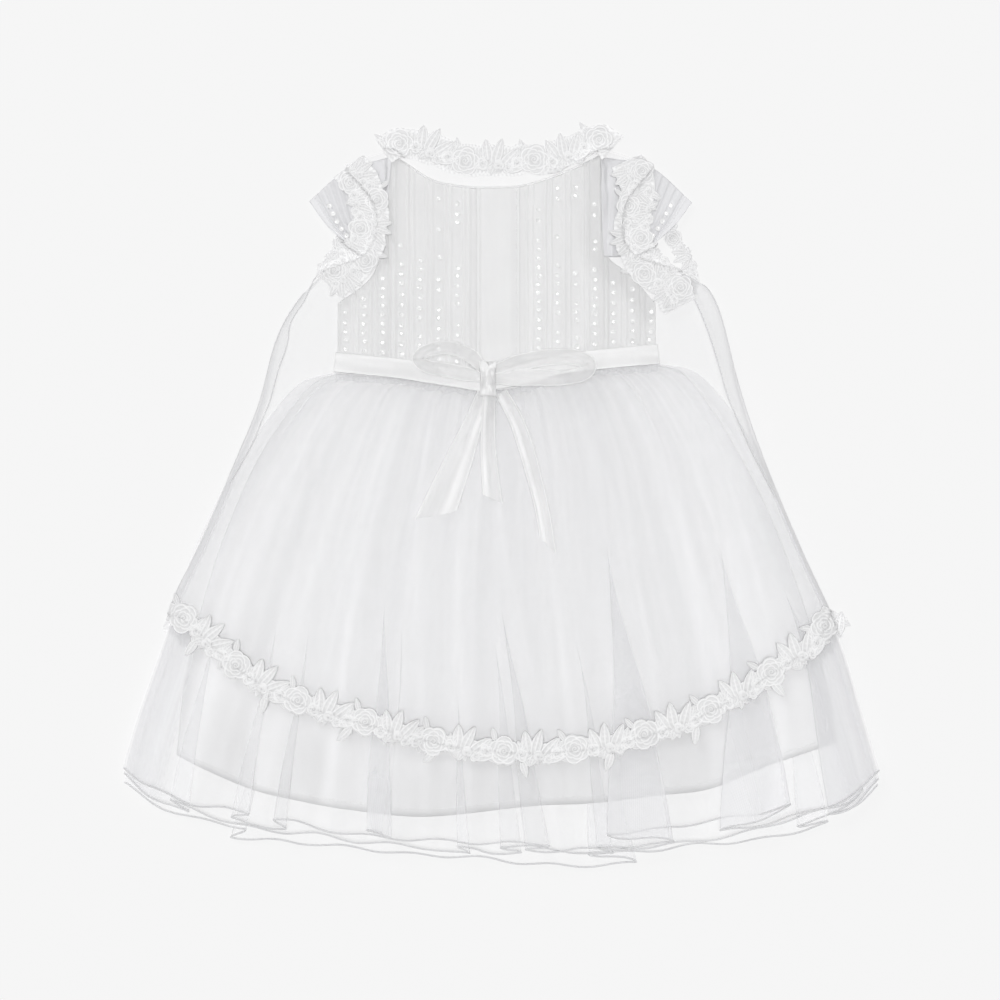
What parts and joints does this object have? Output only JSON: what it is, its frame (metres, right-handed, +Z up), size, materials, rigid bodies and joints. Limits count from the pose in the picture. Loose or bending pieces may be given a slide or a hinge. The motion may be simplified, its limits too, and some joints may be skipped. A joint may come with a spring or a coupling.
{
  "type": "tulle dress",
  "caption": "A baby's white tulle dress laid flat, with cap sleeves, a tucked bodice, a ribbon sash with a bow and a sheer sleeveless overlay edged in floral guipure lace.",
  "frame": {"origin": "centre of the bounding box on the table that the dress lies on", "axes": "+Z up from the table to the side of the dress that shows, +Y towards the neck, +X to the right of someone who looks down at it"},
  "size_m": [0.566, 0.5526, 0.0359],
  "materials": {
    "organza": "satin",
    "tulle": "matte",
    "satin_lining": "satin",
    "bodice_cloth": "matte",
    "ribbon": "satin",
    "guipure_lace": "matte"
  },
  "bodies": {
    "root": {"overlay_far": "organza", "overlay_near": "organza", "skirt_far": "tulle", "skirt_inner": "tulle", "skirt_outer": "tulle", "petticoat_far": "satin_lining", "petticoat_near": "satin_lining", "bodice_far": "bodice_cloth", "bodice_near": "bodice_cloth", "placket": "bodice_cloth", "sleeve_left_far": "bodice_cloth", "sleeve_left_near": "bodice_cloth", "sleeve_right_far": "bodice_cloth", "sleeve_right_near": "bodice_cloth", "sash_far": "ribbon", "sash_left": "ribbon", "sash_right": "ribbon", "bow_knot": "ribbon", "bow_loop_left": "ribbon", "bow_loop_right": "ribbon", "bow_tail_wide": "ribbon", "bow_tail_centre": "ribbon", "bow_tail_right": "ribbon", "lace_neck": "guipure_lace", "lace_hem_near": "guipure_lace", "lace_hem_far": "guipure_lace", "lace_armhole_left": "guipure_lace", "lace_armhole_right": "guipure_lace", "lace_armhole_left_far": "guipure_lace", "lace_armhole_right_far": "guipure_lace"}
  },
  "joints": []
}
